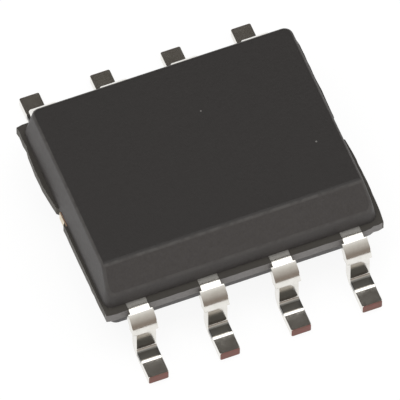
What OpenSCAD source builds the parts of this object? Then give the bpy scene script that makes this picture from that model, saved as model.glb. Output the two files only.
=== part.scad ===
// Eight-lead small-outline integrated circuit package, narrow body.
// The board's surface is z = 0. The lead rows run along X. Leads 1 to 4 are
// on the bevelled side, at -Y, from left to right. Leads 5 to 8 come back
// from right to left at +Y. All sizes are millimetres.

/* [Moulding] */
// Length of the moulding at its parting line, along the lead rows
body_l = 4.86; // [4.8:0.02:5.0]
// Width of the moulding at its parting line, across the lead rows
body_w = 3.86; // [3.8:0.02:4.0]
// Height of the top face above the board
body_top = 1.6; // [1.5:0.05:1.75]
// Gap between the board and the underside of the moulding
stand_off = 0.2; // [0.1:0.01:0.25]
// Draft angle of the walls above the lead frame
draft_top = 9; // [5:1:12]
// Draft angle of the walls below the lead frame
draft_bottom = 13; // [5:1:15]
// Radius of the upright corners at the parting line
corner_r = 0.15; // [0.08:0.01:0.25]
// Radius of the edges around the top face
top_edge_r = 0.08; // [0.04:0.01:0.12]
// Radius of the edges around the underside
bottom_edge_r = 0.05; // [0.02:0.01:0.1]
// Bevel along the top edge over leads 1 to 4, measured down and across
bevel = 0.4; // [0.25:0.01:0.5]

/* [Flash left around the parting line] */
// Reach of the flash beyond the wall on the bevelled side
flash_front = 0.13; // [0.05:0.01:0.15]
// Reach of the flash beyond the wall on the plain side
flash_back = 0.08; // [0.05:0.01:0.15]
// Reach of the flash beyond the wall at both ends
flash_end = 0.11; // [0.05:0.01:0.15]
// Small cut across each corner of the flash
flash_clip = 0.05; // [0.02:0.01:0.08]
// Length of front flash broken away beyond lead 4
chip_l = 0.34; // [0.2:0.01:0.4]
// Length of the slanted end of that break
chip_slant = 0.14; // [0.05:0.01:0.2]
// Gap between the flash and each side of a cut tie bar
tie_gap = 0.03; // [0.01:0.01:0.08]

/* [Leads] */
// Distance between the centres of neighbouring leads
pitch = 1.27; // [1.2:0.01:1.3]
// Distance across the tips of the leads
lead_span = 5.98; // [5.8:0.02:6.2]
// Thickness of the lead frame
frame_t = 0.19; // [0.17:0.01:0.25]
// Height of the lead frame's upper face above the board
frame_top = 0.94; // [0.88:0.01:1.0]
// Width of a lead
lead_w = 0.36; // [0.31:0.01:0.45]
// Width of a lead where the dam bar was cut off it
dam_w = 0.445; // [0.4:0.005:0.51]
// Flat length of the foot
foot_l = 0.51; // [0.4:0.01:0.55]
// Outer radius of the bend at the shoulder
bend_r = 0.385; // [0.34:0.005:0.4]
// Inner radius of the bend at the heel
heel_r = 0.07; // [0.05:0.01:0.16]

/* [Lead frame inside the moulding] */
// Length of the die paddle, along the lead rows
paddle_l = 2.9; // [2.6:0.1:3.0]
// Width of the die paddle, across the lead rows
paddle_w = 1.9; // [1.6:0.1:2.0]
// Drop of the paddle below the leads
downset = 0.2; // [0.15:0.01:0.25]
// Width of the tie bars that held the paddle while it was moulded
tie_w = 0.3; // [0.2:0.01:0.4]
// Reach of a cut tie bar beyond the wall
tie_stub = 0.02; // [0.01:0.01:0.04]
// Level stretch of a tie bar beside the paddle
tie_level = 0.1; // [0.05:0.01:0.15]
// Length of a tie bar's slope, along the lead rows
tie_slope = 0.3; // [0.2:0.01:0.4]
// Gap between the paddle and the tip of a middle lead
finger_gap = 0.25; // [0.2:0.01:0.3]
// Distance from the centre line to the tip of a corner lead
corner_reach = 0.62; // [0.5:0.01:0.8]
// Width of the bonding pad at the inner end of a lead
bond_w = 0.5; // [0.4:0.01:0.52]
// Length of that bonding pad
bond_l = 0.4; // [0.3:0.01:0.45]

/* [Die and bonds] */
// Length of the die
die_l = 1.5; // [1.2:0.05:1.9]
// Width of the die
die_w = 1.2; // [0.9:0.05:1.5]
// Thickness of the die
die_t = 0.25; // [0.2:0.01:0.3]
// Thickness of the adhesive under the die
attach_t = 0.025; // [0.02:0.005:0.04]
// Reach of the adhesive beyond the die on each side
attach_rim = 0.05; // [0.02:0.01:0.1]
// Distance between neighbouring bond pads on the die
pad_pitch = 0.4; // [0.3:0.01:0.4]
// Distance from a bond pad's centre to the die's edge
pad_inset = 0.1; // [0.08:0.01:0.2]
// Diameter of the bond wire
wire_d = 0.03; // [0.02:0.005:0.04]
// Height of the wire loop above the line between its ends
wire_rise = 0.16; // [0.12:0.01:0.2]
// Diameter of the ball bond on the die
ball_d = 0.07; // [0.06:0.005:0.09]
// Height of the ball bond
ball_h = 0.02; // [0.015:0.005:0.03]
// Length of the stitch bond on the lead
stitch_l = 0.1; // [0.08:0.01:0.15]
// Width of the stitch bond
stitch_w = 0.06; // [0.045:0.005:0.08]

/* [Hidden] */

leads_per_side = 4;
leads = 2 * leads_per_side;

// Facets of each bend, and the ones that the dam bar was cut from
bend_steps = 8;
dam_first = 2;
dam_last = 7;
// Facets of each rounded edge, and the turn between the facets of a corner
edge_steps = 3;
corner_turn = 22.5;
// Rings along a bond wire, and its sides
wire_steps = 12;
wire_sides = 8;
// Clear height of the wire over the lead at the stitch
wire_lift = 0.004;
// Facets of a ball bond
ball_facets = 24;
// How far a cutting shape runs past what it cuts
margin = 1;

// Heights
frame_under = frame_top - frame_t;
paddle_top = frame_top - downset;
attach_top = paddle_top + attach_t;
die_top = attach_top + die_t;

// Centres of the two bends of a lead, as distance from the centre line and height
heel_y = lead_span / 2 - foot_l;
heel_z = frame_t + heel_r;
bend_y = heel_y - heel_r - bend_r;
bend_z = frame_top - bend_r;

// Tips of the leads inside the moulding, as distances from the centre line
middle_tip = paddle_w / 2 + finger_gap;
corner_tip = corner_reach;

function is_front(n) = n <= leads_per_side;
function row_place(n) = is_front(n) ? n - 1 : leads - n;
function from_middle(n) = row_place(n) - (leads_per_side - 1) / 2;
function lead_x(n) = from_middle(n) * pitch;
function is_corner(n) = abs(from_middle(n)) > 1;
function tip_y(n) = is_corner(n) ? corner_tip : middle_tip;
function side(n) = is_front(n) ? -1 : 1;

// Points on an arc, from one angle to another
function arc(centre, r, from, to, steps) =
    [for (i = [0 : steps])
        let (a = from + (to - from) * i / steps)
        centre + r * [cos(a), sin(a)]];

// Half the width of the rounded plan, measured square to a wall turned by an angle
function half_width(turn) =
    (body_l / 2 - corner_r) * abs(cos(turn))
    + (body_w / 2 - corner_r) * abs(sin(turn))
    + corner_r;

// Distance of a drafted wall from the middle, at a height above or below its root
function wall_at(root, draft, height) = root - height * tan(draft);

// Rounded edge between a drafted wall and a flat face, height above the wall's root
function edge_arc(root, draft, height, r) =
    arc([wall_at(root, draft, height - r) - r / cos(draft), height - r], r, draft, 90, edge_steps);

// One side of the moulding's section, from the underside up to the top
function section_side(root) = concat(
    [for (i = [edge_steps : -1 : 0])
        let (p = edge_arc(root, draft_bottom, frame_under - stand_off, bottom_edge_r)[i])
        [p[0], frame_under - p[1]]],
    [for (p = edge_arc(root, draft_top, body_top - frame_top, top_edge_r))
        [p[0], frame_top + p[1]]]);

// Adds the corners at the parting faces to that side
function section_points(root) =
    let (s = section_side(root), half = edge_steps + 1)
    concat([for (i = [0 : half - 1]) s[i]],
           [[root, frame_under], [root, frame_top]],
           [for (i = [half : 2 * half - 1]) s[i]]);

module section(root) {
    points = section_points(root);
    last = len(points) - 1;
    polygon(concat(points, [for (i = [last : -1 : 0]) [-points[i][0], points[i][1]]]));
}

// Moulding without its bevel: pairs of opposite walls, turned round the rounded plan
module rounded_block() {
    intersection_for (turn = [0 : corner_turn : 180 - corner_turn]) {
        rotate([90, 0, turn])
            linear_extrude(height = 2 * (body_l + margin), center = true)
                section(half_width(turn));
    }
}

module bevel_cut() {
    low_z = body_top - bevel;
    low_y = wall_at(body_w / 2, draft_top, low_z - frame_top);
    rotate([90, 0, 90])
        linear_extrude(height = body_l + margin, center = true)
            polygon([[-low_y - margin, low_z - margin],
                     [-low_y + bevel + margin, body_top + margin],
                     [-low_y - margin, body_top + margin]]);
}

module flash_outline() {
    x = body_l / 2 + flash_end;
    front = -body_w / 2 - flash_front;
    back = body_w / 2 + flash_back;
    slot = tie_w / 2 + tie_gap;
    polygon([[-x, front + flash_clip], [-x + flash_clip, front],
             [x - chip_l - chip_slant, front], [x - chip_l, -body_w / 2], [x, -body_w / 2],
             [x, -slot], [body_l / 2, -slot], [body_l / 2, slot], [x, slot],
             [x, back - flash_clip], [x - flash_clip, back],
             [-x + flash_clip, back], [-x, back - flash_clip],
             [-x, slot], [-body_l / 2, slot], [-body_l / 2, -slot], [-x, -slot]]);
}

module mould_body() {
    color([0.2, 0.19, 0.185])
        difference() {
            union() {
                difference() {
                    rounded_block();
                    bevel_cut();
                }
                translate([0, 0, frame_under])
                    linear_extrude(height = frame_t)
                        flash_outline();
            }
            for (n = [1 : leads]) {
                lead(n);
                bond_wire(n);
            }
            die_paddle();
            die_attach();
            silicon_die();
        }
}

// Side view of a lead, from its tip inside the moulding to the end of its foot
module gull_wing(inner) {
    bend = [bend_y, bend_z];
    heel = [heel_y, heel_z];
    polygon(concat(
        [[inner, frame_under], [inner, frame_top]],
        arc(bend, bend_r, 90, 0, bend_steps),
        arc(heel, heel_r, 180, 270, bend_steps),
        [[lead_span / 2, frame_t], [lead_span / 2, 0]],
        arc(heel, heel_r + frame_t, 270, 180, bend_steps),
        arc(bend, bend_r - frame_t, 0, 90, bend_steps)));
}

// Side view of the stretch of the bend that is wider, where the dam bar was
module dam_stub() {
    bend = [bend_y, bend_z];
    outer = arc(bend, bend_r, 90, 0, bend_steps);
    inner = arc(bend, bend_r - frame_t, 90, 0, bend_steps);
    polygon(concat(
        [for (i = [dam_first : dam_last]) outer[i]],
        [for (i = [dam_last : -1 : dam_first]) inner[i]]));
}

module lead(n) {
    color([0.78, 0.77, 0.74])
        translate([lead_x(n), 0, 0])
            mirror([0, is_front(n) ? 1 : 0, 0]) {
                rotate([90, 0, 90])
                    linear_extrude(height = lead_w, center = true)
                        gull_wing(tip_y(n));
                rotate([90, 0, 90])
                    linear_extrude(height = dam_w, center = true)
                        dam_stub();
                translate([-bond_w / 2, tip_y(n), frame_under])
                    cube([bond_w, bond_l, frame_t]);
            }
}

// Side view of the paddle and its two tie bars
module paddle_profile() {
    level = paddle_l / 2 + tie_level;
    rise = level + tie_slope;
    end = body_l / 2 + tie_stub;
    upper = [[-end, frame_top], [-rise, frame_top], [-level, paddle_top],
             [level, paddle_top], [rise, frame_top], [end, frame_top]];
    last = len(upper) - 1;
    polygon(concat(upper, [for (i = [last : -1 : 0]) upper[i] - [0, frame_t]]));
}

module die_paddle() {
    color([0.72, 0.5, 0.34]) {
        rotate([90, 0, 0])
            linear_extrude(height = tie_w, center = true)
                paddle_profile();
        translate([-paddle_l / 2, -paddle_w / 2, paddle_top - frame_t])
            cube([paddle_l, paddle_w, frame_t]);
    }
}

module die_attach() {
    color([0.6, 0.6, 0.58])
        translate([-die_l / 2 - attach_rim, -die_w / 2 - attach_rim, paddle_top])
            cube([die_l + 2 * attach_rim, die_w + 2 * attach_rim, attach_t]);
}

module silicon_die() {
    color([0.35, 0.37, 0.42])
        translate([-die_l / 2, -die_w / 2, attach_top])
            cube([die_l, die_w, die_t]);
}

// Where a wire starts on the die and lands on its lead
function pad_place(n) = [from_middle(n) * pad_pitch, side(n) * (die_w / 2 - pad_inset)];
function stitch_place(n) = [lead_x(n), side(n) * (tip_y(n) + bond_l / 2)];

// Centre of the wire at a share t of its course: it rises straight up from the
// ball and comes down on a slant at the stitch
function wire_run(t) = 1 - cos(90 * t);
function wire_height(t) =
    let (from = die_top + ball_h / 2, to = frame_top + wire_d / 2 + wire_lift)
    from + (to - from) * t + wire_rise * sin(180 * t);

// Direction of the wire at t, as [along, up] of length 1
function wire_slope(t, length) =
    let (along = length * 90 * sin(90 * t),
         up = (wire_height(1) - wire_height(0)) * 180 / PI + wire_rise * 180 * cos(180 * t),
         size = norm([along, up]))
    [along, up] / size;

function wire_ring(t, start, heading, length) =
    let (slope = wire_slope(t, length), centre = start + heading * length * wire_run(t))
    [for (k = [0 : wire_sides - 1])
        let (a = 360 * k / wire_sides, across = cos(a) * wire_d / 2, over = sin(a) * wire_d / 2)
        [centre[0] - heading[1] * across - heading[0] * slope[1] * over,
         centre[1] + heading[0] * across - heading[1] * slope[1] * over,
         wire_height(t) + slope[0] * over]];

module wire_tube(start, heading, length) {
    rings = [for (i = [0 : wire_steps]) wire_ring(i / wire_steps, start, heading, length)];
    points = [for (ring = rings) for (p = ring) p];
    last = wire_steps * wire_sides;
    sides = [for (i = [0 : wire_steps - 1]) for (k = [0 : wire_sides - 1])
        let (here = i * wire_sides, next = here + wire_sides, m = (k + 1) % wire_sides)
        for (face = [[here + k, here + m, next + k], [here + m, next + m, next + k]]) face];
    ends = [[for (k = [wire_sides - 1 : -1 : 0]) k],
            [for (k = [0 : wire_sides - 1]) last + k]];
    polyhedron(points, concat(sides, ends));
}

module bond_wire(n) {
    start = pad_place(n);
    course = stitch_place(n) - start;
    length = norm(course);
    heading = course / length;
    stitch_h = wire_d + wire_lift;
    color([0.95, 0.78, 0.35]) {
        translate([start[0], start[1], die_top])
            cylinder(h = ball_h, d = ball_d, $fn = ball_facets);
        wire_tube(start, heading, length);
        translate([stitch_place(n)[0], stitch_place(n)[1], frame_top])
            rotate([0, 0, atan2(heading[1], heading[0])])
                translate([-stitch_l / 2, -stitch_w / 2, 0])
                    cube([stitch_l, stitch_w, stitch_h]);
    }
}

mould_body();
lead(1);  // lead_1
lead(2);  // lead_2
lead(3);  // lead_3
lead(4);  // lead_4
lead(5);  // lead_5
lead(6);  // lead_6
lead(7);  // lead_7
lead(8);  // lead_8
die_paddle();
die_attach();
silicon_die();
bond_wire(1);  // bond_wire_1
bond_wire(2);  // bond_wire_2
bond_wire(3);  // bond_wire_3
bond_wire(4);  // bond_wire_4
bond_wire(5);  // bond_wire_5
bond_wire(6);  // bond_wire_6
bond_wire(7);  // bond_wire_7
bond_wire(8);  // bond_wire_8
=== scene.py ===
import math

import bmesh
import bpy
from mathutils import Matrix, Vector


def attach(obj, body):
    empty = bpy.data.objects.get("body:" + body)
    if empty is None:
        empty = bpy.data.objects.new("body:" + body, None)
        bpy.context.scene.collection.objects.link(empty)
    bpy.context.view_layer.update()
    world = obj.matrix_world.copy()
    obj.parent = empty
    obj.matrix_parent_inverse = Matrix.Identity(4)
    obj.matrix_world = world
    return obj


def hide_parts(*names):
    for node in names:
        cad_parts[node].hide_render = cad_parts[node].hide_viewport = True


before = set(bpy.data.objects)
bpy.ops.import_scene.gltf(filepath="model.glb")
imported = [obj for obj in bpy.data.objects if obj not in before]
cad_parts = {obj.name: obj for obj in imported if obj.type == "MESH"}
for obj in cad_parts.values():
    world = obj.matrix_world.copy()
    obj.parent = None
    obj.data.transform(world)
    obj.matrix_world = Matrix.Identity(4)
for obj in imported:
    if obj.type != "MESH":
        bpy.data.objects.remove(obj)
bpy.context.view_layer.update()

print("frame loaded:", len(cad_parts), "nodes")

mm = 0.001               # every size below is in millimetres
hairline = 0.0001        # closer than this, two points are one


# Hand tools: each one picks or shapes in edit mode, in millimetres.
def clearPicks():
    if bpy.context.object and bpy.context.object.mode != "OBJECT":
        bpy.ops.object.mode_set(mode="OBJECT")
    bpy.ops.object.select_all(action="DESELECT")


def workOn(piece):
    clearPicks()
    piece.select_set(True)
    bpy.context.view_layer.objects.active = piece


def toMetres(point):
    return [step * mm for step in point]


def named(piece, name):
    piece.name = name
    piece.data.name = name
    return piece


def newBlock(name, low, high):
    clearPicks()
    middle = [(a + b) / 2 for a, b in zip(low, high)]
    size = [b - a for a, b in zip(low, high)]
    bpy.ops.mesh.primitive_cube_add(size=1, location=toMetres(middle), scale=toMetres(size))
    bpy.ops.object.transform_apply(location=True, rotation=True, scale=True)
    return named(bpy.context.object, name)


def editing(piece, kind):
    if piece.mode != "EDIT":
        workOn(piece)
        bpy.ops.object.mode_set(mode="EDIT")
    bpy.ops.mesh.select_mode(type=kind)
    bpy.ops.mesh.select_all(action="DESELECT")
    shape = bmesh.from_edit_mesh(piece.data)
    shape.normal_update()
    return shape


def pickFaces(piece, wanted):
    # wanted(centre, normal) says which faces to take
    shape = editing(piece, "FACE")
    for face in shape.faces:
        if wanted(face.calc_center_median() / mm, face.normal):
            face.select_set(True)
    bmesh.update_edit_mesh(piece.data)


def pickEdges(piece, wanted):
    # wanted(one end, other end, normals of the two faces beside it)
    shape = editing(piece, "EDGE")
    for edge in shape.edges:
        ends = [corner.co / mm for corner in edge.verts]
        if wanted(ends[0], ends[1], [face.normal for face in edge.link_faces]):
            edge.select_set(True)
    bmesh.update_edit_mesh(piece.data)


def pickPoints(piece, wanted):
    shape = editing(piece, "VERT")
    for point in shape.verts:
        if wanted(point.co / mm):
            point.select_set(True)
    shape.select_flush_mode()
    bmesh.update_edit_mesh(piece.data)


def pushOut(move):
    bpy.ops.mesh.extrude_region_move(TRANSFORM_OT_translate={"value": toMetres(move)})


def shift(move):
    bpy.ops.transform.translate(value=toMetres(move))


def squeeze(scale, about=(0, 0, 0)):
    bpy.ops.transform.resize(value=scale, center_override=toMetres(about))


def resize(piece, scale):
    editing(piece, "VERT")
    bpy.ops.mesh.select_all(action="SELECT")
    squeeze((scale, scale, scale))
    bpy.ops.object.mode_set(mode="OBJECT")


def roundOff(width, segments):
    bpy.ops.mesh.bevel(offset_type="OFFSET", offset=width * mm, segments=segments,
                       profile=0.5, affect="EDGES", clamp_overlap=False)


def weld(piece):
    editing(piece, "VERT")
    bpy.ops.mesh.select_all(action="SELECT")
    bpy.ops.mesh.remove_doubles(threshold=hairline * mm)
    bpy.ops.mesh.normals_make_consistent(inside=False)
    bpy.ops.object.mode_set(mode="OBJECT")


def softenEdges(piece, width, segments, angle):
    # a fine rounding along every edge that is sharper than the angle
    workOn(piece)
    bevel = piece.modifiers.new("edges", "BEVEL")
    bevel.width = width * mm
    bevel.segments = segments
    bevel.limit_method = "ANGLE"
    bevel.angle_limit = math.radians(angle)
    bpy.ops.object.modifier_apply(modifier=bevel.name)


def shadeSmooth(piece, angle):
    # large faces stay flat, and only the roundings between them shade softly;
    # the piece is grown for this step, because faces this small would weigh nothing
    workOn(piece)
    bpy.ops.object.shade_smooth_by_angle(angle=math.radians(angle))
    resize(piece, 1 / mm)
    lean = piece.modifiers.new("normals", "WEIGHTED_NORMAL")
    lean.keep_sharp = True
    bpy.ops.object.modifier_apply(modifier=lean.name)
    resize(piece, mm)


def combine(piece, other, how):
    workOn(piece)
    step = piece.modifiers.new("combine", "BOOLEAN")
    step.operation = how
    step.solver = "MANIFOLD"
    step.object = other
    bpy.ops.object.modifier_apply(modifier=step.name)


def scrap(piece):
    shape = piece.data
    bpy.data.objects.remove(piece)
    bpy.data.meshes.remove(shape)


def copyOf(piece, name):
    twin = piece.copy()
    twin.data = piece.data.copy()
    bpy.context.scene.collection.objects.link(twin)
    return named(twin, name)


# The camera looks down on leads 1 to 4 from their left.
camera = {
    "aim": (-0.108, -0.275, 0.607),      # the point in the middle of the picture
    "azimuth": 21.5,                     # degrees, from -Y towards -X
    "elevation": 56.8,
    "distance": 253,
    "lens": 1368,
    "sensor": 36,
    "nearest": 10,
    "farthest": 10000,
}


def placeCamera():
    turn = math.radians(camera["azimuth"])
    rise = math.radians(camera["elevation"])
    flat = math.cos(rise)
    towards = Vector((-math.sin(turn) * flat, -math.cos(turn) * flat, math.sin(rise)))
    place = Vector(camera["aim"]) + towards * camera["distance"]
    bpy.ops.object.camera_add(location=place * mm,
                              rotation=(-towards).to_track_quat("-Z", "Y").to_euler())
    eye = bpy.context.object
    eye.name = "camera"
    eye.data.sensor_width = camera["sensor"]
    eye.data.lens = camera["lens"]
    eye.data.clip_start = camera["nearest"] * mm
    eye.data.clip_end = camera["farthest"] * mm
    bpy.context.scene.camera = eye


clearPicks()
placeCamera()
print("camera placed")

# One lead is bent up from a straight strip, then copied round the package.
lead = {
    "pitch": 1.27,
    "width": 0.36,
    "thick": 0.19,
    "top": 0.94,               # height of the upper face above the board
    "tip": 2.99,               # end of the foot, from the centre line
    "neck": 1.6,               # inner end of the narrow stretch
    "bendAt": (2.025, 0.555),  # centre of the shoulder's bend
    "heelAt": (2.48, 0.26),    # centre of the heel's bend
    # the foot's top is pressed a little thinner: (from the centre line, how far down)
    "coined": [(2.638, 0), (2.678, 0.010), (2.76, 0.0142), (2.99, 0.0148)],
    "bendSteps": 16,
    "damFrom": 16.5,           # the bend is wider between these angles
    "damTo": 78.8,
    "damReach": 0.0425,
    "earReach": 0.008,         # the sheared bar's lower corners stand out further
    "padWidth": 0.5,
    "padLength": 0.4,
    "middleTip": 1.2,
    "cornerTip": 0.62,
    "edge": 0.012,
    "edgeSegments": 2,
    "edgeSharper": 30,         # degrees
    "toeCorner": 0.03,
    "toeSegments": 3,
    "smoothBelow": 9,
}


def bendAngle(at):
    # how far round the shoulder's bend a point is, in degrees
    bendY, bendZ = lead["bendAt"]
    return math.degrees(math.atan2(-at.y - bendY, at.z - bendZ))


def inBend(at):
    return at.z > lead["bendAt"][1] and at.y < -lead["bendAt"][0]


def shapeLead(name):
    half = lead["width"] / 2
    bendY, bendZ = lead["bendAt"]
    heelY, heelZ = lead["heelAt"]
    steps = lead["bendSteps"]
    piece = newBlock(name, (-half, -bendY, lead["top"] - lead["thick"]),
                     (half, -lead["neck"], lead["top"]))

    # the shoulder's bend, the leg, the heel's bend and the foot
    pickFaces(piece, lambda at, normal: normal.y < -0.9)
    bpy.ops.mesh.spin(steps=steps, angle=math.radians(-90), axis=(1, 0, 0),
                      center=toMetres((0, -bendY, bendZ)))
    pushOut((0, 0, heelZ - bendZ))
    bpy.ops.mesh.spin(steps=steps, angle=math.radians(90), axis=(1, 0, 0),
                      center=toMetres((0, -heelY, heelZ)))
    reached = heelY
    for along, drop in lead["coined"]:
        pushOut((0, reached - along, 0))
        reached = along
    for along, drop in lead["coined"]:
        pickPoints(piece, lambda at: abs(at.y + along) < hairline and at.z > lead["thick"] / 2)
        shift((0, 0, -drop))

    # the stubs of the dam bar on both sides of the bend
    for side in (-1, 1):
        pickFaces(piece, lambda at, normal: normal.x * side > 0.9 and inBend(at)
                  and lead["damFrom"] < bendAngle(at) < lead["damTo"])
        pushOut((side * lead["damReach"], 0, 0))
        pickPoints(piece, lambda at: at.x * side > half + hairline and inBend(at)
                   and bendAngle(at) > lead["damTo"] - 1)
        shift((side * lead["earReach"], 0, 0))

    # the pad inside the moulding, wider than the lead
    pickFaces(piece, lambda at, normal: normal.y > 0.9 and at.y > -lead["neck"] - hairline)
    bpy.ops.mesh.extrude_region_move()
    squeeze((lead["padWidth"] / lead["width"], 1, 1))
    pushOut((0, lead["padLength"], 0))

    # worn corners at the toe, then a fine rounding of every edge
    pickEdges(piece, lambda a, b, normals: max(a.y, b.y) < -lead["tip"] + hairline
              and abs(a.z - b.z) > lead["thick"] / 2)
    roundOff(lead["toeCorner"], lead["toeSegments"])
    bpy.ops.object.mode_set(mode="OBJECT")
    softenEdges(piece, lead["edge"], lead["edgeSegments"], lead["edgeSharper"])
    return piece


def placeLead(pattern, number):
    piece = copyOf(pattern, "formed_lead_%d" % number)
    place = number - 1 if number <= 4 else 8 - number
    across = (place - 1.5) * lead["pitch"]
    if place in (0, 3):
        reach = lead["middleTip"] - lead["cornerTip"]
        pickPoints(piece, lambda at: at.y > -lead["neck"] - lead["edge"] * 2)
        shift((0, reach, 0))
    editing(piece, "VERT")
    bpy.ops.mesh.select_all(action="SELECT")
    if number > 4:
        squeeze((-1, -1, 1))
    shift((across, 0, 0))
    bpy.ops.object.mode_set(mode="OBJECT")
    return piece


leadPattern = shapeLead("lead_pattern")
leadPieces = [placeLead(leadPattern, number) for number in range(1, 9)]
scrap(leadPattern)
print("leads bent:", len(leadPieces))

# The moulding: a drafted block with one bevelled edge, and the flash round it.
body = {
    "length": 4.86,
    "width": 3.86,
    "top": 1.6,
    "partTop": 0.93,          # the mould's two halves meet across this band
    "partUnder": 0.76,
    "under": 0.2,
    "draftTop": 9,
    "draftUnder": 13,
    "corner": 0.15,
    "cornerSegments": 6,
    "bevel": 0.4,
    "rim": 0.06,
    "rimFrom": 0.1,           # edges this far above the parting band are rounded
    "rimSharper": 20,         # and only those that turn by more degrees than this
    "rimSegments": 5,
    "underRim": 0.045,
    "underSegments": 3,
    "smoothBelow": 32,
}


def drafted(reach, height, draft):
    return (reach - height * math.tan(math.radians(draft))) / reach


def shapeBlock(name):
    halfX, halfY = body["length"] / 2, body["width"] / 2
    piece = newBlock(name, (-halfX, -halfY, body["partUnder"]), (halfX, halfY, body["partTop"]))

    # draw the two halves out of the parting band, each with its draft
    for side, rise, draft in ((1, body["top"] - body["partTop"], body["draftTop"]),
                              (-1, body["partUnder"] - body["under"], body["draftUnder"])):
        pickFaces(piece, lambda at, normal: normal.z * side > 0.9)
        pushOut((0, 0, side * rise))
        squeeze((drafted(halfX, rise, draft), drafted(halfY, rise, draft), 1))

    # round the upright corners
    pickEdges(piece, lambda a, b, normals: abs(a.z - b.z) > hairline)
    roundOff(body["corner"], body["cornerSegments"])

    # plane off the edge above leads 1 to 4
    lowZ = body["top"] - body["bevel"]
    lowY = halfY * drafted(halfY, lowZ - body["partTop"], body["draftTop"])
    editing(piece, "FACE")
    bpy.ops.mesh.select_all(action="SELECT")
    bpy.ops.mesh.bisect(plane_co=toMetres((0, -lowY, lowZ)), plane_no=(0, -1, 1),
                        use_fill=True, clear_outer=True, threshold=hairline * mm)

    # round the edges of the bevel and of the top in one pass, so the roundings meet
    pickEdges(piece, lambda a, b, normals: min(a.z, b.z) > body["partTop"] + body["rimFrom"]
              and normals[0].angle(normals[1]) > math.radians(body["rimSharper"]))
    roundOff(body["rim"], body["rimSegments"])
    pickEdges(piece, lambda a, b, normals: max(a.z, b.z) < body["under"] + hairline
              and min(n.z for n in normals) < -0.9 and max(n.z for n in normals) > -0.9)
    roundOff(body["underRim"], body["underSegments"])
    weld(piece)
    return piece


bodyPiece = shapeBlock("moulding")
print("moulding shaped:", len(bodyPiece.data.polygons), "faces")

# Flash: (x, y) round the outline, clockwise from the front left corner, seen from above.
flash = {
    "top": 0.934,              # a little under the leads' upper faces
    "under": 0.75,
    "front": 2.06,
    "back": 2.01,
    "straight": 2.4,           # the long sides run straight as far as this
    "left": [(-2.465, -2.045), (-2.47, -1.9), (-2.476, -1.5), (-2.478, -0.6), (-2.474, -0.1),
             (-2.42, -0.05), (-2.41, 0.2), (-2.462, 0.25), (-2.48, 0.38),
             (-2.503, 0.56), (-2.52, 0.75), (-2.525, 1.1), (-2.503, 1.46), (-2.486, 1.58),
             (-2.496, 1.71), (-2.49, 1.9), (-2.506, 1.985)],
    "right": [(2.48, 1.97), (2.505, 1.8), (2.5, 1.2), (2.507, 0.7), (2.5, 0.24), (2.42, 0.2),
              (2.42, -0.18), (2.505, -0.24), (2.527, -0.55), (2.533, -0.9), (2.533, -1.3),
              (2.522, -1.65), (2.508, -1.85), (2.49, -1.995)],
    "chip": [(2.38, -2.02), (2.31, -2.014), (2.24, -2.036), (2.14, -2.055)],
    "ragged": 0.006,
    "seed": 3,
    "spacing": 0.12,           # a point at least this often along the outline
}


def shapeFlash(name):
    back = [(-flash["straight"], flash["back"]), (flash["straight"], flash["back"])]
    front = [(-flash["straight"], -flash["front"])]
    outline = flash["left"] + back + flash["right"] + flash["chip"] + front

    # draw the outline point by point, closing it into one face
    clearPicks()
    start = (*outline[0], flash["under"])
    bpy.ops.mesh.primitive_plane_add(size=mm, location=toMetres(start))
    bpy.ops.object.transform_apply(location=True, rotation=True, scale=True)
    piece = named(bpy.context.object, name)
    editing(piece, "VERT")
    bpy.ops.mesh.select_all(action="SELECT")
    bpy.ops.mesh.merge(type="CENTER")
    for here, there in zip(outline, outline[1:]):
        gap = math.dist(here, there)
        cuts = max(1, round(gap / flash["spacing"]))
        for cut in range(cuts):
            bpy.ops.mesh.extrude_vertices_move(TRANSFORM_OT_translate={"value": toMetres(
                ((there[0] - here[0]) / cuts, (there[1] - here[1]) / cuts, 0))})
    bpy.ops.mesh.select_all(action="SELECT")
    bpy.ops.mesh.edge_face_add()
    bpy.ops.mesh.select_all(action="SELECT")
    bpy.ops.transform.vertex_random(offset=flash["ragged"] * mm, seed=flash["seed"])
    squeeze((1, 1, 0), (0, 0, flash["under"]))
    pickFaces(piece, lambda at, normal: True)
    pushOut((0, 0, flash["top"] - flash["under"]))
    weld(piece)
    return piece


flashPiece = shapeFlash("flash")
print("flash drawn:", len(flashPiece.data.vertices), "points")
combine(bodyPiece, flashPiece, "UNION")
scrap(flashPiece)
for number in range(8):
    combine(bodyPiece, leadPieces[number], "DIFFERENCE")
weld(bodyPiece)

# Node groups that several finishes share. Lengths in them are in millimetres.
def newGroup(name, inputs, outputs):
    group = bpy.data.node_groups.new(name, "ShaderNodeTree")
    for socket, default in inputs:
        made = group.interface.new_socket(socket, in_out="INPUT", socket_type="NodeSocketFloat")
        made.default_value = default
    for socket in outputs:
        group.interface.new_socket(socket, in_out="OUTPUT", socket_type="NodeSocketFloat")
    return group


def addNode(tree, kind, at=(0, 0), **settings):
    node = tree.nodes.new(kind)
    node.location = at
    for setting, value in settings.items():
        setattr(node, setting, value)
    return node


def join(tree, source, target):
    tree.links.new(source, target)


def millimetreSpace(tree, at=(-1200, 0)):
    # the piece's own coordinates, turned from metres into millimetres
    place = addNode(tree, "ShaderNodeTexCoord", at)
    grow = addNode(tree, "ShaderNodeVectorMath", (at[0] + 180, at[1]), operation="SCALE")
    grow.inputs["Scale"].default_value = 1 / mm
    join(tree, place.outputs["Object"], grow.inputs[0])
    return grow.outputs[0]


def sums(tree, operation, first, second, at=(0, 0)):
    node = addNode(tree, "ShaderNodeMath", at, operation=operation)
    for socket, value in zip(node.inputs, (first, second)):
        if isinstance(value, (int, float)):
            socket.default_value = value
        elif value is not None:
            join(tree, value, socket)
    return node.outputs[0]


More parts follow.
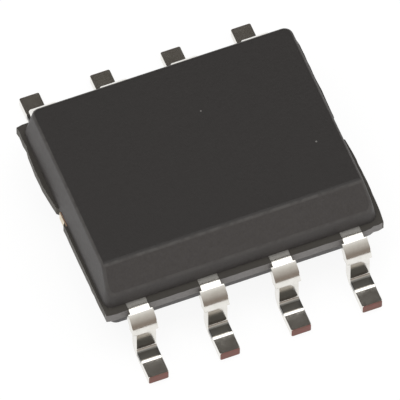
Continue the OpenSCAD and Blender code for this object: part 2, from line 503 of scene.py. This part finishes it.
def stretch(tree, value, fromLow, fromHigh, toLow=0.0, toHigh=1.0, at=(0, 0)):
    node = addNode(tree, "ShaderNodeMapRange", at)
    join(tree, value, node.inputs["Value"])
    limits = {"From Min": fromLow, "From Max": fromHigh, "To Min": toLow, "To Max": toHigh}
    for socket, number in limits.items():
        if isinstance(number, (int, float)):
            node.inputs[socket].default_value = number
        else:
            join(tree, number, node.inputs[socket])
    return node.outputs["Result"]


def blend(tree, mask, first, second, at=(0, 0)):
    # colour first where the mask is 0, second where it is 1
    node = addNode(tree, "ShaderNodeMix", at, data_type="RGBA")
    join(tree, mask, node.inputs["Factor"])
    for socket, colour in ((node.inputs[6], first), (node.inputs[7], second)):
        if isinstance(colour, tuple):
            socket.default_value = (*colour, 1)
        else:
            join(tree, colour, socket)
    return node.outputs[2]


def makeGrain():
    # an even grain: how many grains in a millimetre, and how soft they are
    group = newGroup("grain", [("Grains", 40.0), ("Softness", 0.5)], ["Mask"])
    ends = addNode(group, "NodeGroupInput", (-1200, 300))
    out = addNode(group, "NodeGroupOutput", (200, 0))
    noise = addNode(group, "ShaderNodeTexNoise", (-700, 0))
    noise.inputs["Detail"].default_value = 3
    noise.inputs["Roughness"].default_value = 0.6
    join(group, millimetreSpace(group), noise.inputs["Vector"])
    join(group, ends.outputs["Grains"], noise.inputs["Scale"])
    half = sums(group, "MULTIPLY", ends.outputs["Softness"], 0.3, (-700, 300))
    low = sums(group, "SUBTRACT", 0.5, half, (-500, 300))
    high = sums(group, "ADD", 0.5, half, (-500, 150))
    join(group, stretch(group, noise.outputs["Fac"], low, high, at=(-200, 0)), out.inputs["Mask"])
    return group


def makeWearAndHighlight():
    # worn roundings with a painted highlight: the mask is 1 where the surface leans neither as the top nor
    # as a wall nor as the bevel, broken up by a noise; the lighter colour it brings is partly wear, partly
    # a painted highlight along the edges
    group = newGroup("edge_wear_and_highlight", [("Grains", 12.0)], ["Mask"])
    ends = addNode(group, "NodeGroupInput", (-1200, 300))
    out = addNode(group, "NodeGroupOutput", (400, 0))
    lean = addNode(group, "ShaderNodeNewGeometry", (-1200, 500))
    slope = addNode(group, "ShaderNodeSeparateXYZ", (-1000, 500))
    join(group, lean.outputs["Normal"], slope.inputs[0])
    rounded = sums(group, "MULTIPLY", stretch(group, slope.outputs["Z"], 0.30, 0.45, at=(-700, 500)),
                   stretch(group, slope.outputs["Z"], 0.96, 0.90, at=(-700, 700)), (-500, 600))
    away = addNode(group, "ShaderNodeVectorMath", (-700, 300), operation="DISTANCE")
    join(group, lean.outputs["Normal"], away.inputs[0])
    away.inputs[1].default_value = (0, -math.sqrt(0.5), math.sqrt(0.5))
    offBevel = stretch(group, away.outputs["Value"], 0.06, 0.16, at=(-500, 300))
    rounded = sums(group, "MULTIPLY", rounded, offBevel, (-300, 500))
    noise = addNode(group, "ShaderNodeTexNoise", (-700, 0))
    join(group, millimetreSpace(group), noise.inputs["Vector"])
    join(group, ends.outputs["Grains"], noise.inputs["Scale"])
    broken = stretch(group, noise.outputs["Fac"], 0.35, 0.6, 0.35, 1.0, at=(-400, 0))
    join(group, sums(group, "MULTIPLY", rounded, broken, (0, 0)), out.inputs["Mask"])
    return group


def makeSpecks():
    # a few round specks: cells in a millimetre, the share of them with a speck, its size in the cell
    group = newGroup("specks", [("Cells", 4.0), ("Share", 0.1), ("Size", 0.1)], ["Mask"])
    ends = addNode(group, "NodeGroupInput", (-1200, 300))
    out = addNode(group, "NodeGroupOutput", (400, 0))
    cells = addNode(group, "ShaderNodeTexVoronoi", (-700, 0))
    join(group, millimetreSpace(group), cells.inputs["Vector"])
    join(group, ends.outputs["Cells"], cells.inputs["Scale"])
    dot = sums(group, "LESS_THAN", cells.outputs["Distance"], ends.outputs["Size"], (-300, 100))
    draw = addNode(group, "ShaderNodeSeparateColor", (-500, -200))
    join(group, cells.outputs["Color"], draw.inputs["Color"])
    chosen = sums(group, "LESS_THAN", draw.outputs["Red"], ends.outputs["Share"], (-300, -200))
    join(group, sums(group, "MULTIPLY", dot, chosen, (0, 0)), out.inputs["Mask"])
    return group


groups = {"grain": makeGrain(), "wearAndHighlight": makeWearAndHighlight(), "specks": makeSpecks()}


def useGroup(tree, which, at=(0, 0), **values):
    node = addNode(tree, "ShaderNodeGroup", at)
    node.node_tree = groups[which]
    for socket, value in values.items():
        node.inputs[socket].default_value = value
    return node.outputs["Mask"]


def newFinish(name, metallic=0.0, specular=0.5):
    finish = bpy.data.materials.new(name)
    finish.use_nodes = True
    tree = finish.node_tree
    tree.nodes.clear()
    out = addNode(tree, "ShaderNodeOutputMaterial", (700, 0))
    skin = addNode(tree, "ShaderNodeBsdfPrincipled", (400, 0))
    skin.inputs["Metallic"].default_value = metallic
    skin.inputs["Specular IOR Level"].default_value = specular
    join(tree, skin.outputs["BSDF"], out.inputs["Surface"])
    return finish, tree, skin


def addBump(tree, skin, height, depth, at=(100, -400)):
    # depth is in millimetres
    bump = addNode(tree, "ShaderNodeBump", at)
    bump.inputs["Strength"].default_value = 1
    bump.inputs["Distance"].default_value = depth * mm
    join(tree, height, bump.inputs["Height"])
    join(tree, bump.outputs["Normal"], skin.inputs["Normal"])


def axes(tree, at=(-900, -300)):
    split = addNode(tree, "ShaderNodeSeparateXYZ", (at[0] + 360, at[1]))
    join(tree, millimetreSpace(tree, at), split.inputs[0])
    return split.outputs


epoxy = {
    "dark": (0.0225, 0.0195, 0.0185),
    "light": (0.0285, 0.0255, 0.0240),
    "paintedLitWallDark": (0.052, 0.0465, 0.0440),   # walls and bevel are painted lighter than the top: painted light, standing in for how the lamp lights them
    "paintedLitWallLight": (0.074, 0.0675, 0.0650),
    # lighter colour of the roundings: edge wear and a painted highlight
    "wornAndHighlit": (0.085, 0.079, 0.075),
    "flashTop": (0.056, 0.050, 0.042),
    "cutFace": (0.290, 0.275, 0.268),
    "endFace": (0.050, 0.040, 0.022),
    "speck": (0.22, 0.21, 0.20),
    "wornAndHighlitGrains": 7,
    "specks": {"Cells": 3.2, "Share": 0.05, "Size": 0.06},
    "roughLow": 0.44,
    "roughHigh": 0.58,
    "specular": 0.46,
    "mottle": 13,             # patches in a millimetre
    "grains": 26,
    "depth": 0.0016,
    "flatUp": 0.97,           # how far a normal points up: the top above this,
    "steepUp": 0.80,          # the walls and the bevel below this
    "ledgeUp": 0.9,
    "fade": 0.008,
    "endsFrom": 2.39,
    "sidesFrom": (1.97, 1.99),
    "sidesTo": (2.46, 2.48),
}


def makeEpoxy():
    finish, tree, skin = newFinish("moulded_epoxy", specular=epoxy["specular"])
    x, y, z = axes(tree)
    mottle = useGroup(tree, "grain", (-500, 500), Grains=epoxy["mottle"], Softness=1.0)
    grain = useGroup(tree, "grain", (-500, 350), Grains=epoxy["grains"], Softness=1.0)
    tone = sums(tree, "MULTIPLY", sums(tree, "ADD", mottle, grain, (-400, 400)), 0.5, (-300, 400))
    lean = addNode(tree, "ShaderNodeNewGeometry", (-900, 700))
    slope = addNode(tree, "ShaderNodeSeparateXYZ", (-700, 700))
    join(tree, lean.outputs["Normal"], slope.inputs[0])
    flat = blend(tree, tone, epoxy["dark"], epoxy["light"], (-300, 500))
    # painted light: the walls and the bevel get a lighter colour than the top
    steep = blend(tree, tone, epoxy["paintedLitWallDark"], epoxy["paintedLitWallLight"], (-300, 600))
    leaning = stretch(tree, slope.outputs["Z"], epoxy["flatUp"], epoxy["steepUp"], at=(-500, 700))
    colour = blend(tree, leaning, flat, steep, (-200, 500))
    wornAndHighlit = useGroup(tree, "wearAndHighlight", (-500, 650), Grains=epoxy["wornAndHighlitGrains"])
    # the roundings are lightened: partly edge wear, partly a painted highlight
    colour = blend(tree, wornAndHighlit, colour, epoxy["wornAndHighlit"], (-150, 600))

    # the flash: its top, its sides cut between the leads, and its broken ends
    aside = sums(tree, "ABSOLUTE", x, None, (-500, -200))
    along = sums(tree, "ABSOLUTE", y, None, (-500, -350))
    onFlash = sums(tree, "LESS_THAN", z, flash["top"] + 0.0005, (-500, -50))
    level = sums(tree, "GREATER_THAN", slope.outputs["Z"], epoxy["ledgeUp"], (-500, 150))
    onFlash = sums(tree, "MULTIPLY", onFlash, level, (-400, 0))
    colour = blend(tree, onFlash, colour, epoxy["flashTop"], (-100, 500))
    below = stretch(tree, z, flash["top"] - epoxy["fade"], flash["top"], 1.0, 0.0, at=(-500, 50))
    above = sums(tree, "GREATER_THAN", z, flash["under"] - 0.005, (-500, 250))
    band = sums(tree, "MULTIPLY", below, above, (-400, 150))
    atEnds = sums(tree, "GREATER_THAN", aside, epoxy["endsFrom"], (-300, -100))
    ends = sums(tree, "MULTIPLY", band, atEnds, (-200, -50))
    colour = blend(tree, ends, colour, epoxy["endFace"], (0, 500))
    atSides = stretch(tree, along, *epoxy["sidesFrom"], at=(-300, -350))
    cut = sums(tree, "MULTIPLY", band, atSides, (-100, -200))
    inner = stretch(tree, aside, *epoxy["sidesTo"], 1.0, 0.0, at=(-300, -200))
    cut = sums(tree, "MULTIPLY", cut, inner, (0, -200))
    cut = sums(tree, "MULTIPLY", cut, stretch(tree, grain, 0, 1, 0.7, 1.0, at=(-200, 200)), (50, -100))
    colour = blend(tree, cut, colour, epoxy["cutFace"], (100, 500))

    specks = useGroup(tree, "specks", (-500, 800), **epoxy["specks"])
    colour = blend(tree, specks, colour, epoxy["speck"], (300, 500))
    join(tree, colour, skin.inputs["Base Color"])
    join(tree, stretch(tree, mottle, 0, 1, epoxy["roughLow"], epoxy["roughHigh"], at=(0, 200)),
         skin.inputs["Roughness"])
    addBump(tree, skin, grain, epoxy["depth"])
    return finish


tin = {
    "bright": (0.86, 0.84, 0.80),
    "dull": (0.76, 0.74, 0.69),
    "copper": (0.27, 0.115, 0.11),
    "copperDull": (0.20, 0.125, 0.095),
    "shoulderReflection": (0.42, 0.41, 0.385),   # the flat of the shoulder beside the moulding: a painted reflection of the dark moulding wall
    "heelReflection": (0.115, 0.112, 0.104),  # the foot beside the heel: a painted dark reflection of the leg
    "roughLow": 0.11,
    "roughHigh": 0.20,
    "roughShoulderReflection": 0.42,
    "roughHeelReflection": 0.32,
    "grains": 24,
    "depth": 0.00022,
    "roughSheared": 0.5,
    "cutAt": 2.977,
    "shoulderReflectionTo": (2.022, 2.038),
    "heelReflectionFrom": (2.435, 2.455),
    "heelReflectionTo": (2.614, 2.626),
    "heelReflectionAbove": 0.1,
}


def makeTin():
    finish, tree, skin = newFinish("tin_plating", metallic=1.0)
    x, y, z = axes(tree)
    patches = useGroup(tree, "grain", (-500, 500), Grains=7, Softness=1.0)
    grain = useGroup(tree, "grain", (-500, 350), Grains=tin["grains"], Softness=1.0)
    colour = blend(tree, patches, tin["dull"], tin["bright"], (-300, 500))

    # the flat of the shoulder is painted grey, a painted reflection of the dark moulding wall, and a dark
    # band beside the heel is a painted reflection of the leg
    along = sums(tree, "ABSOLUTE", y, None, (-500, -350))
    # painted reflection: the dark moulding wall mirrored in the shoulder's flat
    shoulder = stretch(tree, along, *tin["shoulderReflectionTo"], 1, 0, at=(-300, -500))
    colour = blend(tree, shoulder, colour, tin["shoulderReflection"], (-150, 650))
    heel = sums(tree, "MULTIPLY", stretch(tree, along, *tin["heelReflectionFrom"], at=(-300, -650)),
                stretch(tree, along, *tin["heelReflectionTo"], 1, 0, at=(-300, -800)), (-100, -700))
    upper = sums(tree, "GREATER_THAN", z, tin["heelReflectionAbove"], (-300, -950))
    heel = sums(tree, "MULTIPLY", heel, upper, (0, -700))
    # painted reflection: the leg mirrored dark in the foot beside the heel
    colour = blend(tree, heel, colour, tin["heelReflection"], (-50, 650))

    # the end of the foot was sheared after plating, so the copper shows
    sheared = sums(tree, "GREATER_THAN", along, tin["cutAt"], (-300, -350))
    copper = blend(tree, patches, tin["copperDull"], tin["copper"], (-300, 300))
    colour = blend(tree, sheared, colour, copper, (0, 500))
    join(tree, colour, skin.inputs["Base Color"])
    rough = stretch(tree, patches, 0, 1, tin["roughHigh"], tin["roughLow"], at=(-100, 200))
    for place, much in ((shoulder, "roughShoulderReflection"), (heel, "roughHeelReflection"), (sheared, "roughSheared")):
        rough = sums(tree, "MAXIMUM", rough, sums(tree, "MULTIPLY", place, tin[much], (0, 400)), (100, 200))
    join(tree, rough, skin.inputs["Roughness"])
    addBump(tree, skin, grain, tin["depth"])
    return finish


def makeFrameCopper():
    # copper alloy, with the pale sheared ends of the tie bars at both walls
    finish, tree, skin = newFinish("frame_copper", metallic=1.0)
    x, y, z = axes(tree)
    patches = useGroup(tree, "grain", (-500, 500), Grains=12, Softness=1.0)
    colour = blend(tree, patches, (0.62, 0.36, 0.24), (0.74, 0.46, 0.32), (-300, 500))
    end = sums(tree, "GREATER_THAN", sums(tree, "ABSOLUTE", x, None, (-500, -200)), 2.44, (-300, -200))
    colour = blend(tree, end, colour, (0.72, 0.62, 0.46), (0, 500))
    join(tree, colour, skin.inputs["Base Color"])
    join(tree, stretch(tree, patches, 0, 1, 0.45, 0.3, at=(0, 200)), skin.inputs["Roughness"])
    addBump(tree, skin, useGroup(tree, "grain", (-500, 0), Grains=50, Softness=1.0), 0.0008)
    return finish


def makePlainFinish(name, low, high, metallic, rough, grains, depth):
    finish, tree, skin = newFinish(name, metallic=metallic)
    patches = useGroup(tree, "grain", (-500, 500), Grains=grains, Softness=1.0)
    join(tree, blend(tree, patches, low, high, (-100, 500)), skin.inputs["Base Color"])
    join(tree, stretch(tree, patches, 0, 1, rough[0], rough[1], at=(0, 200)), skin.inputs["Roughness"])
    addBump(tree, skin, useGroup(tree, "grain", (-500, 0), Grains=grains * 4, Softness=1.0), depth)
    return finish


finishes = {
    "moulding": makeEpoxy(),
    "lead": makeTin(),
    "die_paddle": makeFrameCopper(),
    "die_attach": makePlainFinish("silver_filled_adhesive", (0.36, 0.36, 0.35), (0.62, 0.61, 0.58),
                                  0.4, (0.65, 0.45), 35, 0.001),
    "silicon_die": makePlainFinish("polished_silicon", (0.10, 0.11, 0.13), (0.15, 0.16, 0.19),
                                   0.7, (0.22, 0.12), 18, 0.0002),
    "bond_wire": makePlainFinish("bond_gold", (0.86, 0.58, 0.20), (0.95, 0.70, 0.30),
                                 1.0, (0.3, 0.18), 60, 0.0003),
}


def dress(piece, finish):
    # a CAD node keeps its mesh, so its finish goes to its object's own slot
    if not piece.material_slots:
        piece.data.materials.append(finish)
    for slot in piece.material_slots:
        slot.link = "OBJECT"
        slot.material = finish


shadeSmooth(bodyPiece, body["smoothBelow"])
bodyPiece.data.materials.clear()
bodyPiece.data.materials.append(finishes["moulding"])
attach(bodyPiece, "root")
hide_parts("mould_body")
for number, piece in enumerate(leadPieces, 1):
    shadeSmooth(piece, lead["smoothBelow"])
    piece.data.materials.append(finishes["lead"])
    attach(piece, "root")
    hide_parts("lead_%d" % number)
for name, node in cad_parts.items():
    for part in ("die_paddle", "die_attach", "silicon_die", "bond_wire"):
        if name.startswith(part):
            dress(node, finishes[part])
print("finishes given")

# The studio: a pale floor, one soft lamp overhead, and two cards that the metal mirrors.
studio = {
    "floor": 600,
    "floorColour": (0.80, 0.80, 0.80),
    "floorGlow": 0.90,         # what the camera and shiny surfaces see of it, before its shading
    "floorShade": 0.14,
    "worldLight": 0.80,
    "lampFrom": 94,            # degrees up from the horizon on leads 1 to 4's side
    "lampAway": 200,
    "lampSize": (240, 115),
    "lampPower": 0.105,
    "lampColour": (1.0, 0.985, 0.96),
    # the cards stand on the floor; each shade holds up to its height
    "backCard": {"at": 200, "wide": 800, "shades": [
        (0, (0.085, 0.078, 0.070)), (520, (0.085, 0.078, 0.070))]},
    "frontCard": {"at": -200, "wide": 800, "shades": [
        (0, (0.26, 0.22, 0.19)), (77, (0.28, 0.24, 0.21)), (120, (0.37, 0.34, 0.31)),
        (174, (0.48, 0.45, 0.42)), (361, (0.66, 0.64, 0.61)), (581, (0.78, 0.76, 0.73))]},
}


def seenDirectly(tree, at=(-600, 0)):
    # 1 for the camera, and for what shiny and clear surfaces show
    path = addNode(tree, "ShaderNodeLightPath", at)
    seen = sums(tree, "MAXIMUM", path.outputs["Is Camera Ray"], path.outputs["Is Glossy Ray"],
                (at[0] + 200, at[1]))
    return sums(tree, "MAXIMUM", seen, path.outputs["Is Transmission Ray"], (at[0] + 400, at[1]))


def newStageFinish(name):
    finish = bpy.data.materials.new(name)
    finish.use_nodes = True
    tree = finish.node_tree
    tree.nodes.clear()
    return finish, tree, addNode(tree, "ShaderNodeOutputMaterial", (600, 0))


def layFloor():
    clearPicks()
    bpy.ops.mesh.primitive_plane_add(size=studio["floor"] * mm)
    floor = named(bpy.context.object, "floor")
    finish, tree, out = newStageFinish("pale_floor")
    plain = addNode(tree, "ShaderNodeBsdfDiffuse", (0, 200))
    plain.inputs["Color"].default_value = (*studio["floorColour"], 1)
    shaded = addNode(tree, "ShaderNodeBsdfDiffuse", (-200, -100))
    shaded.inputs["Color"].default_value = (*[studio["floorShade"]] * 3, 1)
    glow = addNode(tree, "ShaderNodeEmission", (-200, -250))
    glow.inputs["Strength"].default_value = studio["floorGlow"]
    both = addNode(tree, "ShaderNodeAddShader", (0, -150))
    join(tree, shaded.outputs[0], both.inputs[0])
    join(tree, glow.outputs[0], both.inputs[1])
    pick = addNode(tree, "ShaderNodeMixShader", (300, 0))
    join(tree, seenDirectly(tree, (-600, 400)), pick.inputs[0])
    join(tree, plain.outputs[0], pick.inputs[1])
    join(tree, both.outputs[0], pick.inputs[2])
    join(tree, pick.outputs[0], out.inputs["Surface"])
    floor.data.materials.append(finish)


def hangCard(name, settings):
    clearPicks()
    height = settings["shades"][-1][0]
    bpy.ops.mesh.primitive_plane_add(size=1, location=toMetres((0, settings["at"], height / 2)),
                                     rotation=(math.radians(90), 0, 0))
    card = named(bpy.context.object, name)
    card.scale = (settings["wide"] * mm, height * mm, 1)
    bpy.ops.object.transform_apply(location=True, rotation=True, scale=True)
    finish, tree, out = newStageFinish(name)
    x, y, z = axes(tree)
    ramp = addNode(tree, "ShaderNodeValToRGB", (0, 0))
    join(tree, sums(tree, "DIVIDE", z, height, (-200, 0)), ramp.inputs["Fac"])
    steps = ramp.color_ramp.elements
    while len(steps) < len(settings["shades"]):
        steps.new(0.5)
    for step, (up, colour) in zip(steps, settings["shades"]):
        step.position = up / height
        step.color = (*colour, 1)
    glow = addNode(tree, "ShaderNodeEmission", (300, 0))
    join(tree, ramp.outputs["Color"], glow.inputs["Color"])
    join(tree, glow.outputs[0], out.inputs["Surface"])
    card.data.materials.append(finish)
    card.visible_camera = False
    card.visible_diffuse = False
    card.visible_shadow = False


def lightWorld():
    world = bpy.data.worlds.new("studio")
    bpy.context.scene.world = world
    world.use_nodes = True
    tree = world.node_tree
    tree.nodes.clear()
    out = addNode(tree, "ShaderNodeOutputWorld", (600, 0))
    sky = addNode(tree, "ShaderNodeBackground", (300, 0))
    strength = stretch(tree, seenDirectly(tree), 0, 1, studio["worldLight"], 1.0, at=(0, 0))
    join(tree, strength, sky.inputs["Strength"])
    join(tree, sky.outputs[0], out.inputs["Surface"])


def hangLamp():
    rise = math.radians(studio["lampFrom"])
    towards = Vector((0, -math.cos(rise), math.sin(rise)))
    bpy.ops.object.light_add(type="AREA", location=towards * studio["lampAway"] * mm,
                             rotation=towards.to_track_quat("Z", "Y").to_euler())
    lamp = bpy.context.object
    lamp.name = "softbox"
    lamp.data.shape = "RECTANGLE"
    lamp.data.size = studio["lampSize"][0] * mm
    lamp.data.size_y = studio["lampSize"][1] * mm
    lamp.data.energy = studio["lampPower"]
    lamp.data.color = studio["lampColour"]
    lamp.visible_camera = False


clearPicks()
layFloor()
hangCard("back_card", studio["backCard"])
hangCard("front_card", studio["frontCard"])
lightWorld()
hangLamp()
bpy.context.scene.view_settings.view_transform = "Standard"
print("studio set")
